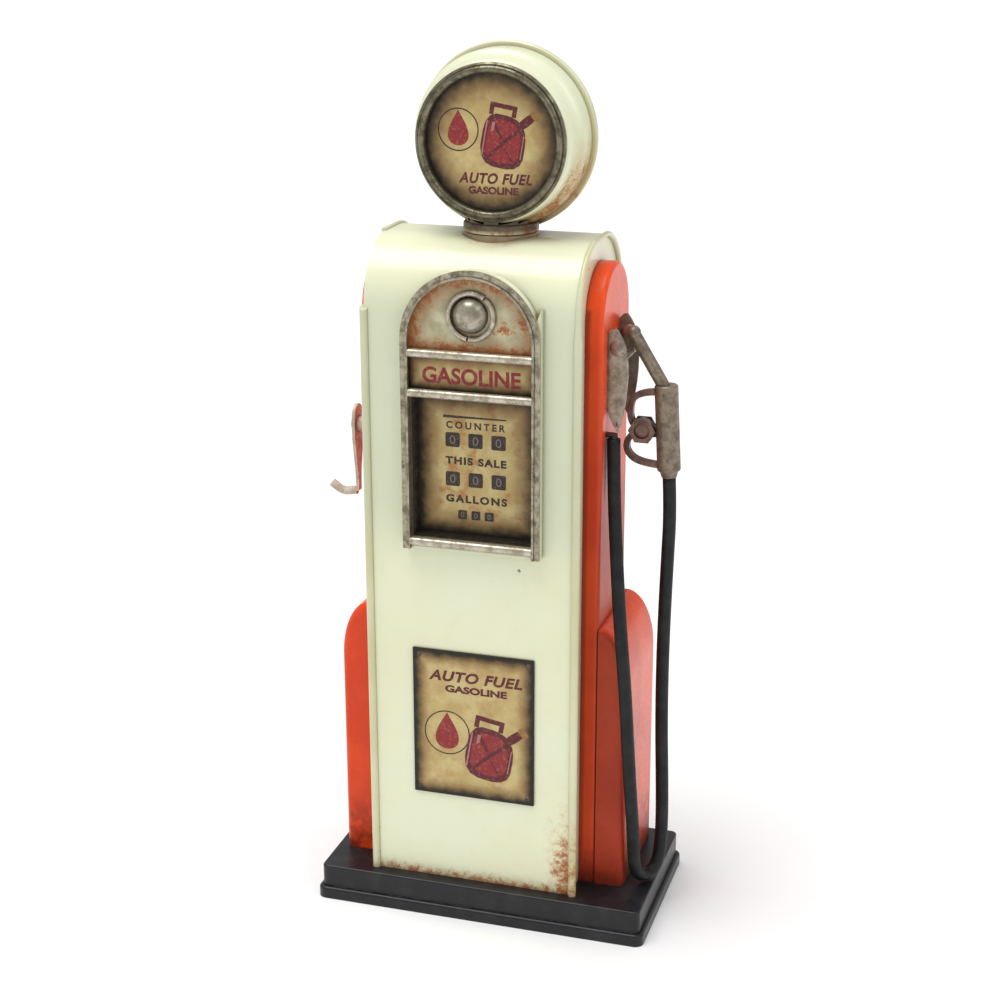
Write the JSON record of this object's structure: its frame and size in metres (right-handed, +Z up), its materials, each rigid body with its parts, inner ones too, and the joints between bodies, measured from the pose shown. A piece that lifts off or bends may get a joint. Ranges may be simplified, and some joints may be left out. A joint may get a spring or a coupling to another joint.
{
  "type": "display model of a gas pump",
  "caption": "Tinplate miniature of an old petrol pump: arched cabinet on a stepped base, round swivelling top sign, dial front, side crank and a lift-off nozzle on a hanging hose.",
  "frame": {"origin": "middle of the base's underside", "axes": "+X towards the hose and nozzle side, -Y out of the dial front, +Z up"},
  "size_m": [0.1426, 0.074, 0.3413],
  "materials": {
    "cream_enamel": "gloss, chipped and rust-stained",
    "rusted_cream": "rust-stained satin",
    "orange_enamel": "gloss",
    "black_enamel": "semi-gloss",
    "antique_silver": "antiqued satin",
    "tarnished_metal": "tarnished satin",
    "dark_steel": "dull",
    "parchment_print": "varnished print",
    "hose_rubber": "satin"
  },
  "bodies": {
    "pump": {"arch_plate": "rusted_cream", "base_bottom": "black_enamel", "base_box": "black_enamel", "base_flange": "black_enamel", "cabinet_wrap": "cream_enamel", "column_left": "orange_enamel", "column_right": "orange_enamel", "crank_post": "antique_silver", "crank_rivet": "antique_silver", "dial_bar_lower": "antique_silver", "dial_bar_middle": "antique_silver", "dial_bar_upper": "antique_silver", "dial_frame": "antique_silver", "dial_housing": "cream_enamel", "dial_plate": "parchment_print", "dial_recess": "dark_steel", "fairing_left": "orange_enamel", "fairing_right": "orange_enamel", "front_bead_left": "cream_enamel", "front_bead_right": "cream_enamel", "header_plate": "parchment_print", "holster_front": "antique_silver", "holster_pin": "antique_silver", "holster_rear": "antique_silver", "holster_strip": "antique_silver", "hose": "hose_rubber", "hose_stub": "black_enamel", "lamp_dome": "antique_silver", "lamp_ring": "antique_silver", "neck_nut": "dark_steel", "neck_ring": "cream_enamel", "neck_screw": "dark_steel", "poster_plate": "parchment_print", "poster_rivets": "dark_steel", "rim_bead_left": "cream_enamel", "rim_bead_right": "cream_enamel", "side_panel_left": "cream_enamel", "side_panel_right": "cream_enamel"},
    "globe": {"globe_back": "cream_enamel", "globe_bezel": "antique_silver", "globe_collar": "rusted_cream", "globe_face": "parchment_print", "globe_flange": "cream_enamel", "globe_shell": "cream_enamel"},
    "nozzle": {"nozzle_bolt": "tarnished_metal", "nozzle_ferrule": "tarnished_metal", "nozzle_guard": "tarnished_metal", "nozzle_handle": "tarnished_metal", "nozzle_nut": "tarnished_metal", "nozzle_spout": "tarnished_metal", "nozzle_tip": "tarnished_metal"},
    "crank": {"crank_plate": "antique_silver", "crank_grip": "antique_silver"}
  },
  "joints": [
    {"name": "globe_swivel", "type": "hinge", "parent": "pump", "child": "globe", "pos_m": [-0.0008, 0.0021, 0.2727], "axis": [0, 0, 1], "continuous": true},
    {"name": "nozzle_lift", "type": "slide", "parent": "pump", "child": "nozzle", "axis": [0, 0, 1], "range_m": [0, 0.012], "deforming": ["hose"]},
    {"name": "crank_turn", "type": "hinge", "parent": "pump", "child": "crank", "pos_m": [-0.0596, -0.0008, 0.193], "axis": [1, 0, 0], "continuous": true}
  ]
}
